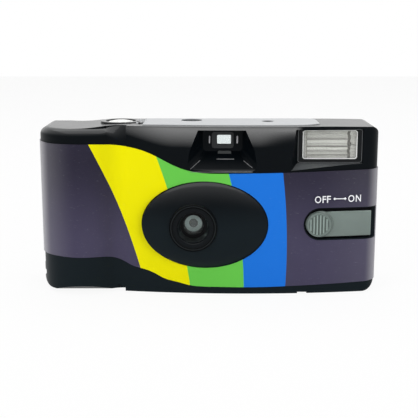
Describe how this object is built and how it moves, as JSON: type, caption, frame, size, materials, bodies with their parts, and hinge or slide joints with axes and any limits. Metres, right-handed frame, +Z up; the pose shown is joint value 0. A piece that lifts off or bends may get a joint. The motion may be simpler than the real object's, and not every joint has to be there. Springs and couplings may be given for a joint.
{
  "type": "disposable film camera",
  "caption": "Compact single-use film camera with built-in flash, oval lens dome, finder hood, sliding flash switch, thumb wheel and printed wrap.",
  "frame": {"origin": "centre of the bounding box's bottom, on the surface the camera stands on", "axes": "+X to the right seen from the front, front faces -Y, +Z up"},
  "size_m": [0.121, 0.0348, 0.0603],
  "materials": {
    "black_shell": "satin black ABS",
    "label_print": "printed wrap, purple grey with stripes",
    "silver_label": "silver-grey satin",
    "collar_black": "gloss black",
    "button_white": "white",
    "slider_grey": "sage grey",
    "wheel_black": "black",
    "bezel_gloss": "gloss black",
    "clear_pane": "clear moulded",
    "reflector_bright": "bright polished",
    "tube_glass": "clear glass",
    "ring_black": "satin black",
    "lens_glass": "coated glass",
    "finder_glass": "clear",
    "dark_pane": "smoked clear",
    "lamp_orange": "amber",
    "chassis_black": "matt black",
    "door_black": "satin black ABS",
    "blade_metal": "blackened steel",
    "spring_steel": "spring steel",
    "contact_brass": "brass",
    "cartridge_metal": "lacquered steel",
    "spool_black": "black",
    "film_base": "film, grey brown",
    "lever_white": "natural acetal",
    "counter_white": "white with numbers",
    "battery_skin": "dark sleeve",
    "board_green": "green board",
    "capacitor_sleeve": "dark sleeve",
    "ferrite_grey": "ferrite",
    "coil_copper": "enamelled wire"
  },
  "bodies": {
    "camera_body": {"front_cover": "black_shell", "rear_cover": "black_shell", "wrap_label": "label_print", "top_label": "silver_label", "button_collar": "collar_black", "film_cartridge": "cartridge_metal", "film_strip": "film_base", "chassis": "chassis_black", "lens_ring": "ring_black", "lens_holder": "chassis_black", "taking_lens": "lens_glass", "lens_retainer": "ring_black", "aperture_plate": "blade_metal", "shutter_pin": "spring_steel", "shutter_spring": "spring_steel", "striker_pin": "spring_steel", "striker_spring": "spring_steel", "release_pin": "spring_steel", "pawl_pin": "spring_steel", "aa_battery": "battery_skin", "battery_contact_plus": "contact_brass", "battery_contact_minus": "contact_brass", "flash_bezel": "bezel_gloss", "flash_window": "clear_pane", "flash_reflector": "reflector_bright", "flash_tube": "tube_glass", "circuit_board": "board_green", "flash_transformer": "ferrite_grey", "trigger_coil": "coil_copper", "flash_capacitor": "capacitor_sleeve", "sync_contact": "contact_brass", "ready_lamp": "lamp_orange", "counter_window": "dark_pane", "viewfinder_front_lens": "finder_glass", "viewfinder_rear_lens": "finder_glass", "viewfinder_tunnel": "chassis_black"},
    "button": {"shutter_button": "button_white", "button_spring": "spring_steel"},
    "slider": {"flash_slider": "slider_grey", "slider_contact": "contact_brass"},
    "wheel": {"thumb_wheel": "wheel_black", "cartridge_spool": "spool_black"},
    "roll": {"supply_spool": "spool_black", "film_roll": "film_base"},
    "sprocket": {"sprocket_wheel": "lever_white"},
    "counter": {"counter_disc": "counter_white"},
    "blade": {"shutter_blade": "blade_metal"},
    "striker": {"striker_lever": "lever_white"},
    "release": {"release_lever": "lever_white"},
    "pawl": {"anti_reverse_pawl": "lever_white"},
    "film_flap": {"film_door": "door_black"},
    "battery_flap": {"battery_door": "door_black"}
  },
  "joints": [
    {"name": "button_press", "type": "slide", "parent": "camera_body", "child": "button", "axis": [0, 0, -1], "range_m": [0, 0.0012], "stiffness_N_per_m": 500, "springref_m": -0.0004, "deforming": ["button_spring"]},
    {"name": "release_rock", "type": "hinge", "parent": "camera_body", "child": "release", "pos_m": [-0.0215, 0.0021, 0.04587], "axis": [0, -1, 0], "range_deg": [0, 13]},
    {"name": "striker_swing", "type": "hinge", "parent": "camera_body", "child": "striker", "pos_m": [-0.0096, -0.0006, 0.04297], "axis": [0, 0, 1], "range_deg": [0, 30]},
    {"name": "blade_swing", "type": "hinge", "parent": "camera_body", "child": "blade", "pos_m": [0.0028, -0.0083, 0.02007], "axis": [0, 1, 0], "range_deg": [0, 38]},
    {"name": "wheel_turn", "type": "hinge", "parent": "camera_body", "child": "wheel", "pos_m": [-0.0446, 0.0033, 0.051], "axis": [0, 0, 1], "continuous": true},
    {"name": "roll_turn", "type": "hinge", "parent": "camera_body", "child": "roll", "pos_m": [0.0386, 0.00465, 0.00447], "axis": [0, 0, 1], "continuous": true},
    {"name": "sprocket_turn", "type": "hinge", "parent": "camera_body", "child": "sprocket", "pos_m": [-0.0255, 0.00785, 0.03857], "axis": [0, 0, 1], "continuous": true},
    {"name": "counter_turn", "type": "hinge", "parent": "camera_body", "child": "counter", "pos_m": [-0.0132, 0.0033, 0.0536], "axis": [0, 0, 1], "continuous": true},
    {"name": "pawl_swing", "type": "hinge", "parent": "camera_body", "child": "pawl", "pos_m": [-0.02909, -0.00234, 0.0492], "axis": [0, 0, 1], "range_deg": [0, 8], "stiffness_Nm_per_rad": 0.002, "springref_deg": -2.86},
    {"name": "flash_switch", "type": "slide", "parent": "camera_body", "child": "slider", "axis": [0.9904, 0.1385, 0], "range_m": [0, 0.008]},
    {"name": "film_door_hinge", "type": "hinge", "parent": "camera_body", "child": "film_flap", "pos_m": [-0.03195, 0.0027, 0.00195], "axis": [0, -1, 0], "range_deg": [0, 90]},
    {"name": "battery_door_hinge", "type": "hinge", "parent": "camera_body", "child": "battery_flap", "pos_m": [0, 0.00655, 0.00075], "axis": [1, 0, 0], "range_deg": [0, 90]}
  ],
  "couplings": [
    {"joint": "release_rock", "follows": "button_press", "rad_per_m": 180},
    {"joint": "blade_swing", "follows": "striker_swing", "ratio": 1.2},
    {"joint": "roll_turn", "follows": "wheel_turn", "ratio": 0.75},
    {"joint": "sprocket_turn", "follows": "wheel_turn", "ratio": 1},
    {"joint": "counter_turn", "follows": "wheel_turn", "ratio": -0.027778}
  ]
}
